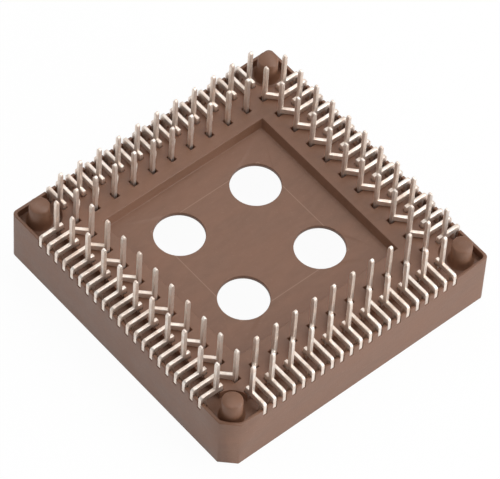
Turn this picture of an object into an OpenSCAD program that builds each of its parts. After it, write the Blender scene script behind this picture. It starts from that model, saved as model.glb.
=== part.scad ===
// Through-hole socket for a leaded chip carrier, solder pins upwards.
// One square moulding carries a spring contact for every lead on its four sides.
// Every size is in millimetres. The rim of the chip cavity rests on z = 0.

/* [Contact grid] */
// Contacts along each side
contacts_per_side = 21; // [17:4:21]
// Distance between neighbouring contacts
contact_pitch = 1.27; // [1.22:0.01:1.32]
// Distance between the inner and the outer row of solder pins
row_step = 2.54; // [2.44:0.02:2.64]

/* [Housing] */
// From the last contact's centre line to the outer face
wall_margin = 4.71; // [4.6:0.01:4.9]
// From the last contact's centre line to the wall of the chip cavity
cavity_margin = 2.65; // [2.6:0.01:2.75]
// Height of the moulding, from the rim to the top of its walls
body_h = 6.9; // [6.6:0.05:7.3]
// Height of the floor's upper face above the rim
deck_z = 5.9; // [5.6:0.05:6.1]
// Thickness of the floor
deck_t = 0.5; // [0.4:0.05:0.8]
// Size of the bevel on the outer corner that marks the keyed corner
corner_cut = 1.53; // [1.2:0.01:1.8]
// Radius of the other three outer corners
corner_r = 0.6; // [0.4:0.05:0.9]
// Thickness of the outer skin behind the contacts
skin_t = 0.35; // [0.3:0.01:0.4]
// From the last contact's centre line to the outer edge of the pin rail
rail_margin = 2.3; // [2.25:0.01:2.35]
// Width of the rail that the solder pins stand on
rail_w = 4.6; // [4:0.1:5]
// How far the wall of the sunk floor leans back at its top
rail_draft = 0.35; // [0.1:0.05:0.5]
// Bevel that leads a chip into the cavity
lead_in = 0.45; // [0.2:0.05:0.6]
// Leg of the triangle that fills the keyed corner of the cavity
key_cut = 1.5; // [1:0.1:2]
// Width of the slots for an extraction tool in two cavity corners
tool_slot_w = 2.4; // [1.8:0.1:2.8]
// Depth of such a slot from the rim
tool_slot_h = 3.6; // [2.5:0.1:4]
// Moulding left between such a slot and the outer faces
tool_slot_wall = 0.6; // [0.4:0.05:0.8]

/* [Floor holes] */
// Diameter of the four holes in the floor
hole_d = 5.45; // [4.8:0.05:5.8]
// Distance between the hole centres
hole_spacing = 10.24; // [9:0.02:10.6]

/* [Standoffs] */
// Height of the board above the rim
seat_z = 8.67; // [8.2:0.01:9.2]
// From the last contact's centre line to the middle of a standoff
post_margin = 2.65; // [2.5:0.01:2.8]
// Diameter of a standoff
post_d = 2.2; // [2:0.05:2.4]
// Bevel round the top of a standoff
post_edge = 0.12; // [0.05:0.01:0.2]
// Diameter at the foot of a standoff
post_foot_d = 2.8; // [2.6:0.05:3]
// Height of a standoff's sloped foot
post_foot_h = 0.6; // [0.3:0.05:1]
// Radius of the clearance that the rail leaves round a standoff
post_clear_r = 2.35; // [2:0.05:2.4]
// Radius of the pocket's wall behind the bevelled outer corner
pocket_r = 3.8; // [3.6:0.05:4]

/* [Contacts] */
// Thickness of the contact metal
metal_t = 0.4; // [0.34:0.01:0.42]
// Clearance between a contact and each side of its slot
slot_gap = 0.06; // [0.03:0.01:0.1]
// Clearance below the parts of a contact that lie on the moulding
seat_gap = 0.05; // [0.02:0.01:0.1]
// Height of the bar that joins the spring to its pin
bar_h = 0.72; // [0.5:0.02:0.9]
// Width of a solder pin across its row
pin_w = 0.48; // [0.4:0.02:0.54]
// How far a solder pin reaches past the board side of the standoffs
pin_reach = 3.29; // [2.8:0.01:3.8]
// Length of a solder pin's tapered tip
pin_tip = 0.3; // [0.1:0.05:0.5]
// Width of the tab that hooks over the outer skin
tab_w = 0.32; // [0.25:0.01:0.4]
// How far the inner bars run past the rail's outer edge before they turn
turn_in = 1.1; // [0.9:0.05:1.2]
// Length of the foot at the inner end of an outer-row bar
stub_w = 0.4; // [0.35:0.01:0.45]
// Gap between such a foot and its solder pin
stub_gap = 0.15; // [0.1:0.01:0.2]
// How deep those feet and the inner-row pins sink into the rail
stub_depth = 0.7; // [0.5:0.05:0.8]
// Width of the well in the rail round the foot of an inner-row pin
well_w = 0.68; // [0.62:0.02:0.74]
// How far a well reaches past its pin's centre line, inwards
well_in = 0.52; // [0.4:0.02:0.6]
// Width of the spring leg
leg_w = 0.3; // [0.2:0.02:0.34]
// Radius of the hairpin at the rim end of the spring
hairpin_r = 0.55; // [0.45:0.01:0.6]
// Height of the hairpin's centre above the rim
hairpin_z = 1.35; // [1.1:0.05:1.6]
// Height at which the spring reaches furthest into the cavity
touch_z = 3.3; // [3:0.05:3.6]
// How far the spring bows in from the hairpin to where it touches a lead
bow = 0.3; // [0.2:0.01:0.4]
// Height of the spring's free end above the rim
spring_end_z = 4.9; // [4.5:0.05:5]

/* [Hidden] */
$fn = 48;
cut_over = 1;                                   // how far a cut runs past the face that it opens
join = 0.05;                                    // overlap that makes two shapes one solid
overlap_turn = 0.2;                             // the same in degrees, for two curves
half_row = (contacts_per_side - 1) / 2 * contact_pitch;
inner_row = half_row;                           // rows and faces below are distances from the centre
outer_row = inner_row + row_step;
outer_face = half_row + wall_margin;
skin_face = outer_face - skin_t;
cavity_face = half_row + cavity_margin;
rail_edge = half_row + rail_margin;
recess_edge = rail_edge - rail_w;
post_place = half_row + post_margin;
corner_place = (2 * outer_face - corner_cut) / sqrt(2);
pocket_place = (corner_place - pocket_r - skin_t) / sqrt(2);
tool_slot_end = (outer_face - tool_slot_wall) * sqrt(2) - tool_slot_w / 2;
cavity_h = deck_z - deck_t;                     // depth of the chip cavity
slot_w = metal_t + 2 * slot_gap;
bar_z = body_h + seat_gap;                      // underside of the bars
bar_top = bar_z + bar_h;
pin_top = seat_z + pin_reach;
tab_face = outer_face - seat_gap;
knee_r = tab_w;
leg_place = skin_face - leg_w - slot_gap;       // middle of the outer spring leg
leg_slot_face = leg_place + leg_w / 2 + slot_gap;
leg_slot_w = leg_w + 2 * slot_gap;
stub_place = outer_row - pin_w / 2 - stub_gap - stub_w / 2;
stub_floor = body_h - stub_depth - seat_gap;    // bottom of the slots for the feet and inner pins
turn_place = rail_edge - turn_in;               // where an inner-row bar turns towards its pin
spring_tilt = 2 * atan(bow / (touch_z - hairpin_z));
bow_r = (touch_z - hairpin_z) / sin(spring_tilt) + hairpin_r;
bow_place = leg_place - 2 * hairpin_r - bow + bow_r;
end_tilt = asin((spring_end_z - touch_z) / bow_r);

SIDES = ["front", "right", "back", "left"];
GROUPS = (contacts_per_side + 1) / 2;           // an outer and an inner contact each, the last no inner
function two_digits(n) = n < 10 ? str("0", n) : str(n);
function group_name(side, group) = str(SIDES[side], "_contacts_", two_digits(group));

// Place along the front side of contact number n, counted from the left
function along(n) = n * contact_pitch - half_row;

// ---------- housing ----------

// Copies what is drawn for the front side, or for the corner at +X +Y, to all four
module four_times() for (side = [0:3]) rotate(90 * side) children();

module rounded_square(size, r) {
    square([size, size - 2 * r], center = true);
    square([size - 2 * r, size], center = true);
    four_times() translate([1, 1] * (size / 2 - r)) circle(r);
}

// The corner at +X -Y is bevelled, above the keyed corner of the cavity
module outline() difference() {
    rounded_square(2 * outer_face, corner_r);
    translate([outer_face, -outer_face]) rotate(45) square(corner_cut * sqrt(2), center = true);
}

// Sunk channel between the rail and the outer skin, with a pocket round each standoff
module channel_outline() {
    inner_corner = [1, -1] * (skin_face - pocket_r);
    difference() {
        rounded_square(2 * skin_face, corner_r - skin_t / 2);
        difference() {
            translate(inner_corner) translate([0, -outer_face]) square(outer_face);
            translate([1, -1] * pocket_place) circle(pocket_r);
        }
        rail_outline();
    }
}

module rail_outline() difference() {
    square(2 * rail_edge, center = true);
    four_times() translate([1, 1] * post_place) circle(post_clear_r);
}

// Sunk floor inside the rail, with its four walls leaning back
module recess() {
    lean = atan(rail_draft / (body_h - deck_z));
    size = 4 * recess_edge;
    intersection() {
        translate([-size / 2, -size / 2, deck_z]) cube([size, size, body_h]);
        intersection_for (side = [0:3])
            rotate(90 * side) translate([0, -recess_edge, deck_z]) rotate([lean, 0, 0])
                translate([-size / 2, 0, -size / 2]) cube(size);
    }
}

module contact_cuts() for (n = [0:contacts_per_side - 1]) translate([along(n) - slot_w / 2, 0, 0]) {
    // slot behind the cavity wall
    translate([0, -leg_slot_face, -cut_over])
        cube([slot_w, leg_slot_face - cavity_face + cut_over, cavity_h + cut_over]);
    // way up through the floor of the channel
    translate([0, -leg_slot_face, cavity_h - cut_over]) cube([slot_w, leg_slot_w, deck_t + 2 * cut_over]);
    // notch for the tab in the top of the outer skin
    translate([0, -outer_face - cut_over, deck_z]) cube([slot_w, skin_t + 2 * cut_over, body_h]);
    if (n % 2 == 0)
        translate([0, -rail_edge - cut_over, stub_floor])
            cube([slot_w, rail_edge - stub_place + stub_w / 2 + slot_gap + cut_over, body_h]);
    else
        translate([(slot_w - well_w) / 2 + contact_pitch, -inner_row - well_w / 2, stub_floor])
            cube([well_w, well_w / 2 + well_in, body_h]);
}

module standoff() {
    edge_z = seat_z - post_edge;
    translate([0, 0, deck_z - join]) {
        cylinder(h = edge_z - deck_z + join, d = post_d);
        cylinder(h = post_foot_h + join, d1 = post_foot_d, d2 = post_d);
    }
    translate([0, 0, edge_z]) cylinder(h = post_edge, d1 = post_d, d2 = post_d - 2 * post_edge);
}

module chip_cavity() {
    translate([0, 0, -cut_over]) linear_extrude(cavity_h + cut_over) difference() {
        square(2 * cavity_face, center = true);
        translate([cavity_face, -cavity_face]) rotate(45) square(key_cut * sqrt(2), center = true);
    }
    four_times() translate([0, -cavity_face, 0]) rotate([45, 0, 0])
        cube([2 * cavity_face, lead_in * sqrt(2), lead_in * sqrt(2)], center = true);
}

module tool_slots() for (turn = [45, 225]) rotate(turn)
    translate([0, -tool_slot_w / 2, -cut_over]) cube([tool_slot_end, tool_slot_w, tool_slot_h + cut_over]);

module housing() color("#84695b") difference() {
    union() {
        difference() {
            linear_extrude(body_h) outline();
            translate([0, 0, deck_z]) linear_extrude(body_h) channel_outline();
            recess();
        }
        four_times() translate([post_place, post_place, 0]) standoff();
    }
    chip_cavity();
    tool_slots();
    four_times() contact_cuts();
    for (x = [-1, 1]) for (y = [-1, 1])
        translate([x, y, 0] * hole_spacing / 2) cylinder(h = body_h, d = hole_d);
}

// ---------- contacts, on the front side, standing at x = 0 ----------

// Flat stretch of a contact between two distances from the centre and two heights
module strip(near, far, low, high)
    translate([-metal_t / 2, -far, low]) cube([metal_t, far - near, high - low]);

// Curved stretch about an axis along the row, angles from outwards towards upwards
module curve(place, z, r, from, to)
    translate([0, -place, z]) rotate([90, 0, -90]) rotate(from)
        rotate_extrude(angle = to - from) translate([r - leg_w / 2, -metal_t / 2]) square([leg_w, metal_t]);

module spring() {
    strip(leg_place - leg_w / 2, leg_place + leg_w / 2, hairpin_z - join, bar_z + join);
    curve(leg_place - hairpin_r, hairpin_z, hairpin_r, spring_tilt - 180, 0);
    curve(bow_place, touch_z, bow_r, 180 - end_tilt, 180 + spring_tilt + overlap_turn);
}

// Bar from the inner end out to the tab that hooks over the skin
module bar_and_tab(inner_end) {
    strip(inner_end, tab_face - knee_r, bar_z, bar_top);
    strip(tab_face - tab_w, tab_face, deck_z + seat_gap, bar_top - knee_r);
    translate([-metal_t / 2, knee_r - tab_face, bar_top - knee_r]) rotate([0, 90, 0])
        cylinder(h = metal_t, r = knee_r);
}

module solder_pin(low) {
    half = pin_w / 2;
    translate([metal_t / 2, 0, 0]) rotate([90, 0, -90]) linear_extrude(metal_t)
        polygon([[-half, low], [half, low], [half, pin_top - pin_tip],
                 [half / 2, pin_top], [-half / 2, pin_top], [-half, pin_top - pin_tip]]);
}

module outer_contact() {
    spring();
    bar_and_tab(stub_place - stub_w / 2);
    strip(stub_place - stub_w / 2, stub_place + stub_w / 2, body_h - stub_depth, bar_top);
    translate([0, -outer_row, 0]) solder_pin(bar_z);
}

// Its bar turns sideways by one pitch, to a pin in the inner row
module inner_contact() {
    reach = turn_place - inner_row;
    spring();
    bar_and_tab(turn_place);
    translate([0, -turn_place, bar_z]) cylinder(h = bar_h, d = metal_t);
    translate([0, -turn_place, bar_z]) rotate(atan2(reach, contact_pitch))
        translate([0, -metal_t / 2, 0]) cube([norm([reach, contact_pitch]), metal_t, bar_h]);
    translate([contact_pitch, -inner_row, 0]) solder_pin(body_h - stub_depth);
}

module contact_group(side, group) color("#cdbfb1") rotate(90 * side) {
    n = 2 * (group - 1);
    translate([along(n), 0, 0]) outer_contact();
    if (n + 1 < contacts_per_side) translate([along(n + 1), 0, 0]) inner_contact();
}

housing();
for (side = [0:3]) for (group = [1:GROUPS])
    contact_group(side, group);
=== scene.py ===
"""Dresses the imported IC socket: moulded brown housing and tinned contacts, upside down on a pale floor."""

import math

import bpy
from mathutils import Matrix, Vector


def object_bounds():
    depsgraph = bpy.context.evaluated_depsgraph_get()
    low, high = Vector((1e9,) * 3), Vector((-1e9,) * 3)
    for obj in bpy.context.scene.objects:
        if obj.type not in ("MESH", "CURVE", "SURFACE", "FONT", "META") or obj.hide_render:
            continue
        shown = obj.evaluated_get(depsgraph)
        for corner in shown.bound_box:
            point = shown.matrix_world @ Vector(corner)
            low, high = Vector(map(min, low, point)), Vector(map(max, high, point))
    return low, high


MM = 0.001

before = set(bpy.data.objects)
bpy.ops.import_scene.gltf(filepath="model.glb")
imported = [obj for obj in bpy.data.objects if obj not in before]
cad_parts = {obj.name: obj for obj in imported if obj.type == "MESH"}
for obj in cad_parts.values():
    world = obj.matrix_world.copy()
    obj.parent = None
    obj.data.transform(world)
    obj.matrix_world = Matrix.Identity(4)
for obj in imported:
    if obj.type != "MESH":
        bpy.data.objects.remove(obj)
cad_low, cad_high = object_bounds()

# ---------------------------------------------------------------- sizes
# Rounding of the sharp edges, and the least turn of an edge that gets it
EDGE_ROUND = 0.07 * MM
PIN_EDGE_ROUND = 0.06 * MM
ROUND_SEGMENTS = 2
SHARP_ANGLE = math.radians(50)
WELD_GAP = 0.002 * MM
FLAT_FACE_WEIGHT = 50

# Upper face of the housing's sunk floor, and half the side of the mould insert round its holes
SUNK_FLOOR_Z = 5.9 * MM
INSERT_HALF = 7.2 * MM
INSERT_LINE_CORE = 0.02 * MM
INSERT_LINE_EDGE = 0.07 * MM
SUNK_FLOOR_NEAR = 0.02 * MM
SUNK_FLOOR_FAR = 0.03 * MM

# The studio floor is a little below the rim, so that the two faces don't coincide
STUDIO_FLOOR_GAP = 0.02 * MM
STUDIO_FLOOR_SIZE = 3.0
STUDIO_FLOOR_GREY = 0.96
STUDIO_FLOOR_GLOW = 0.96
WORLD_STRENGTH = 0.43

CAMERA_AZIMUTH = math.radians(46.56)
CAMERA_ELEVATION = math.radians(53.83)
CAMERA_ROLL = math.radians(4.015)
CAMERA_DISTANCE = 458.5 * MM
CAMERA_AIM_RIGHT = 0.272 * MM
CAMERA_AIM_UP = 3.582 * MM
CAMERA_LENS = 318.2
CAMERA_NEAR = 0.05
CAMERA_FAR = 10.0
SENSOR_WIDTH = 36.0


# ---------------------------------------------------------------- colours
def srgb(r, g, b):
    """An 8-bit screen colour as the linear colour that a shader takes."""

    def linear(c):
        c = c / 255
        return c / 12.92 if c <= 0.04045 else ((c + 0.055) / 1.055) ** 2.4

    return (linear(r), linear(g), linear(b), 1.0)


WHITE = (1.0, 1.0, 1.0, 1.0)
PLASTIC_DARK = srgb(118, 82, 61)
PLASTIC_LIGHT = srgb(127, 89, 68)
PLASTIC_FLOW = srgb(133, 96, 75)
PLASTIC_FLECK = srgb(158, 126, 106)
TIN_WARM = srgb(240, 220, 205)
TIN_LIGHT = srgb(250, 240, 230)
TIN_GREY = srgb(226, 220, 214)
TIN_DULL = srgb(196, 176, 160)

# How many features per metre each noise has
CLOUD_SCALE = 420
STREAK_SCALE = 1900
PLASTIC_GRAIN_SCALE = 7000
FLECK_SCALE = 5200
PATCH_SCALE = 1300
DULL_SCALE = 520
TIN_GRAIN_SCALE = 12000

# How much of a colour is laid over the ones below it
STREAK_SHARE = 0.30
FLECK_SHARE = 0.16
INSERT_LINE_SHARE = 0.55
TIN_GREY_SHARE = 0.35
TIN_DULL_SHARE = 0.35

# The flow of the plastic draws its clouds and streaks out along Y
FLOW_STRETCH = (1.0, 0.35, 1.0)
PLASTIC_IOR = 1.5
PLASTIC_BUMP = 0.02 * MM
TIN_METALLIC = 0.85
TIN_BUMP = 0.01 * MM


# ---------------------------------------------------------------- node helpers
class Nodes:
    """Short calls for building one material's node tree."""

    def __init__(self, name):
        self.material = bpy.data.materials.new(name)
        self.material.use_nodes = True
        self.tree = self.material.node_tree
        self.tree.nodes.clear()

    def add(self, kind, inputs=None, **settings):
        node = self.tree.nodes.new("ShaderNode" + kind)
        for key, value in settings.items():
            setattr(node, key, value)
        for key, value in (inputs or {}).items():
            self.put(node.inputs[key], value)
        return node

    def put(self, socket, value):
        if isinstance(value, bpy.types.NodeSocket):
            self.tree.links.new(value, socket)
        else:
            socket.default_value = value

    def noise(self, vector, scale, detail):
        """Noise with so many features per metre."""
        node = self.add("TexNoise", {"Vector": vector, "Scale": scale, "Detail": detail})
        return node.outputs["Fac"]

    def span(self, value, low, high, to_low=0.0, to_high=1.0):
        """Maps low..high to to_low..to_high and holds it there."""
        inputs = {"Value": value, "From Min": low, "From Max": high, "To Min": to_low, "To Max": to_high}
        return self.add("MapRange", inputs).outputs["Result"]

    def math(self, operation, a, b=0.0):
        return self.add("Math", {0: a, 1: b}, operation=operation).outputs[0]

    def mix(self, factor, a, b):
        """Mixes two colours."""
        return self.add("Mix", {0: factor, 6: a, 7: b}, data_type="RGBA").outputs[2]

    def finish(self, shader):
        out = self.add("OutputMaterial")
        self.tree.links.new(shader, out.inputs["Surface"])
        return self.material


class MeshGroup:
    """Short calls for building one geometry node group that works on a whole mesh."""

    def __init__(self, name):
        self.group = bpy.data.node_groups.new(name, "GeometryNodeTree")
        self.group.interface.new_socket("Geometry", in_out="INPUT", socket_type="NodeSocketGeometry")
        self.group.interface.new_socket("Geometry", in_out="OUTPUT", socket_type="NodeSocketGeometry")

    def add(self, kind, inputs=None, **settings):
        node = self.group.nodes.new(kind)
        for key, value in settings.items():
            setattr(node, key, value)
        for key, value in (inputs or {}).items():
            if isinstance(value, bpy.types.NodeSocket):
                self.group.links.new(value, node.inputs[key])
            else:
                node.inputs[key].default_value = value
        return node

    def shade(self, mesh, smooth, domain, selection=True):
        inputs = {"Geometry": mesh, "Selection": selection, "Shade Smooth": smooth}
        return self.add("GeometryNodeSetShadeSmooth", inputs, domain=domain).outputs[0]

    def finish(self, mesh):
        self.add("NodeGroupOutput", {0: mesh})
        return self.group


# ---------------------------------------------------------------- materials
def insert_line(n, place):
    """Witness line that the square mould insert round the four holes leaves on the sunk floor."""
    x, y, z = n.add("SeparateXYZ", {0: place}).outputs
    reach = n.math("MAXIMUM", n.math("ABSOLUTE", x), n.math("ABSOLUTE", y))
    off_line = n.math("ABSOLUTE", n.math("SUBTRACT", reach, INSERT_HALF))
    off_floor = n.math("ABSOLUTE", n.math("SUBTRACT", z, SUNK_FLOOR_Z))
    on_line = n.span(off_line, INSERT_LINE_CORE, INSERT_LINE_EDGE, 1.0, 0.0)
    on_floor = n.span(off_floor, SUNK_FLOOR_NEAR, SUNK_FLOOR_FAR, 1.0, 0.0)
    return n.math("MULTIPLY", on_line, on_floor)


def plastic_material():
    """Glass-filled moulded plastic: satin, faintly mottled along the flow, with a fine spark-eroded grain."""
    n = Nodes("moulded_plastic")
    place = n.add("TexCoord").outputs["Object"]
    flow_place = n.add("Mapping", {"Vector": place, "Scale": FLOW_STRETCH}).outputs["Vector"]
    clouds = n.span(n.noise(flow_place, CLOUD_SCALE, 4), 0.35, 0.65)
    streaks = n.span(n.noise(flow_place, STREAK_SCALE, 3), 0.35, 0.65)
    grain = n.span(n.noise(place, PLASTIC_GRAIN_SCALE, 2), 0.3, 0.7)
    flecks = n.span(n.noise(place, FLECK_SCALE, 1), 0.66, 0.76)
    colour = n.mix(clouds, PLASTIC_DARK, PLASTIC_LIGHT)
    colour = n.mix(n.math("MULTIPLY", streaks, STREAK_SHARE), colour, PLASTIC_FLOW)
    colour = n.mix(n.math("MULTIPLY", flecks, FLECK_SHARE), colour, PLASTIC_FLECK)
    colour = n.mix(n.math("MULTIPLY", insert_line(n, place), INSERT_LINE_SHARE), colour, PLASTIC_FLECK)
    rough = n.math("ADD", n.span(clouds, 0.0, 1.0, 0.40, 0.48), n.math("MULTIPLY", grain, 0.05))
    height = n.math("ADD", grain, n.math("MULTIPLY", streaks, 0.8))
    bump = n.add("Bump", {"Height": height, "Strength": 0.22, "Distance": PLASTIC_BUMP}).outputs[0]
    look = {"Base Color": colour, "Roughness": rough, "IOR": PLASTIC_IOR, "Normal": bump}
    return n.finish(n.add("BsdfPrincipled", look).outputs[0])


def tin_material():
    """Matte tin plate: light, slightly warm, each node a little different, duller in small patches."""
    n = Nodes("tinned_metal")
    place = n.add("TexCoord").outputs["Object"]
    each = n.add("ObjectInfo").outputs["Random"]
    patches = n.span(n.noise(place, PATCH_SCALE, 3), 0.35, 0.65)
    dull = n.span(n.noise(place, DULL_SCALE, 2), 0.50, 0.68)
    fine = n.span(n.noise(place, TIN_GRAIN_SCALE, 2), 0.3, 0.7)
    colour = n.mix(patches, TIN_WARM, TIN_LIGHT)
    colour = n.mix(n.math("MULTIPLY", each, TIN_GREY_SHARE), colour, TIN_GREY)
    colour = n.mix(n.math("MULTIPLY", dull, TIN_DULL_SHARE), colour, TIN_DULL)
    rough = n.math("ADD", n.span(patches, 0.0, 1.0, 0.52, 0.40), n.math("MULTIPLY", dull, 0.12))
    bump = n.add("Bump", {"Height": fine, "Strength": 0.25, "Distance": TIN_BUMP}).outputs[0]
    look = {"Base Color": colour, "Metallic": TIN_METALLIC, "Roughness": rough, "Normal": bump}
    return n.finish(n.add("BsdfPrincipled", look).outputs[0])


def floor_material():
    """Matt and pale, so that it keeps the shadow, and nearly white to the camera and in reflections."""
    n = Nodes("pale_floor")
    path = n.add("LightPath").outputs
    seen = n.math("MAXIMUM", path["Is Camera Ray"], path["Is Glossy Ray"])
    seen = n.math("MAXIMUM", seen, path["Is Transmission Ray"])
    grey = (STUDIO_FLOOR_GREY, STUDIO_FLOOR_GREY, STUDIO_FLOOR_GREY, 1.0)
    matt = n.add("BsdfDiffuse", {"Color": grey}).outputs[0]
    glow = n.add("Emission", {"Color": WHITE, "Strength": 1.0}).outputs[0]
    share = n.math("MULTIPLY", seen, STUDIO_FLOOR_GLOW)
    return n.finish(n.add("MixShader", {0: share, 1: matt, 2: glow}).outputs[0])


# ---------------------------------------------------------------- the CAD nodes
def shading():
    """Shades every face and edge smooth, but for edges that still turn by more than SHARP_ANGLE."""
    g = MeshGroup("shading")
    bend = g.add("GeometryNodeInputMeshEdgeAngle").outputs["Unsigned Angle"]
    sharp = g.add("ShaderNodeMath", {0: bend, 1: SHARP_ANGLE}, operation="GREATER_THAN").outputs[0]
    mesh = g.shade(g.add("NodeGroupInput").outputs[0], True, "FACE")
    mesh = g.shade(mesh, True, "EDGE")
    mesh = g.shade(mesh, False, "EDGE", sharp)
    return g.finish(mesh)


def soften_edges(node, width, shade):
    """Rounds the sharp edges of a CAD node, as its mould or its press leaves them."""
    weld = node.modifiers.new("weld", "WELD")
    weld.merge_threshold = WELD_GAP
    round_edges = node.modifiers.new("round_edges", "BEVEL")
    round_edges.width = width
    round_edges.segments = ROUND_SEGMENTS
    round_edges.limit_method = "ANGLE"
    round_edges.angle_limit = SHARP_ANGLE
    round_edges.use_clamp_overlap = False
    node.modifiers.new("shading", "NODES").node_group = shade
    weighted = node.modifiers.new("weighted", "WEIGHTED_NORMAL")
    weighted.weight = FLAT_FACE_WEIGHT
    weighted.keep_sharp = True


def dress(node, material, width, shade):
    """Gives a CAD node its material and its softened edges."""
    node.data.materials.clear()
    node.data.materials.append(material)
    soften_edges(node, width, shade)


plastic = plastic_material()
tin = tin_material()
shade = shading()
for name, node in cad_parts.items():
    if name == "housing":
        dress(node, plastic, EDGE_ROUND, shade)
    else:
        dress(node, tin, PIN_EDGE_ROUND, shade)


# ---------------------------------------------------------------- floor, light and camera
bpy.ops.mesh.primitive_plane_add(size=STUDIO_FLOOR_SIZE, location=(0, 0, cad_low.z - STUDIO_FLOOR_GAP))
floor = bpy.context.object
floor.name = "floor"
floor.data.materials.append(floor_material())

world = bpy.data.worlds.new("studio")
bpy.context.scene.world = world
world.use_nodes = True
world.node_tree.nodes["Background"].inputs["Color"].default_value = WHITE
world.node_tree.nodes["Background"].inputs["Strength"].default_value = WORLD_STRENGTH


def direction(azimuth, elevation):
    """Unit vector from the origin: azimuth 0 is the front at -Y, 90 degrees is the right side at +X."""
    level_part = math.cos(elevation)
    return Vector((math.sin(azimuth) * level_part, -math.cos(azimuth) * level_part, math.sin(elevation)))


def soft_box(name, azimuth, elevation, distance, size, power, colour=WHITE[:3]):
    """A square lamp that looks at the origin. Degrees, metres and watts."""
    lamp = bpy.data.lights.new(name, "AREA")
    lamp.size = size
    lamp.energy = power
    lamp.color = colour
    holder = bpy.data.objects.new(name, lamp)
    bpy.context.scene.collection.objects.link(holder)
    towards = direction(math.radians(azimuth), math.radians(elevation))
    holder.location = towards * distance
    holder.rotation_mode = "QUATERNION"
    holder.rotation_quaternion = (-towards).to_track_quat("-Z", "Y")


soft_box("key", 150, 58, 0.7, 0.5, 1.85)
soft_box("top_back", 226, 54, 0.7, 0.6, 1.25)
soft_box("side", 120, 9, 0.6, 0.4, 2.7, (0.92, 0.97, 1.0))
soft_box("fill", -30, 25, 0.7, 0.4, 0.25, (0.80, 0.90, 1.0))

back = direction(CAMERA_AZIMUTH, CAMERA_ELEVATION)
level = Vector((math.cos(CAMERA_AZIMUTH), math.sin(CAMERA_AZIMUTH), 0.0))
upright = back.cross(level)
right = level * math.cos(CAMERA_ROLL) + upright * math.sin(CAMERA_ROLL)
up = upright * math.cos(CAMERA_ROLL) - level * math.sin(CAMERA_ROLL)
camera = bpy.data.objects.new("camera", bpy.data.cameras.new("camera"))
bpy.context.scene.collection.objects.link(camera)
place = back * CAMERA_DISTANCE + right * CAMERA_AIM_RIGHT + up * CAMERA_AIM_UP
turn = Matrix((right, up, back)).transposed().to_4x4()
camera.matrix_world = Matrix.Translation(place) @ turn
camera.data.lens = CAMERA_LENS
camera.data.sensor_width = SENSOR_WIDTH
camera.data.clip_start = CAMERA_NEAR
camera.data.clip_end = CAMERA_FAR
bpy.context.scene.camera = camera
bpy.context.scene.view_settings.view_transform = "Standard"
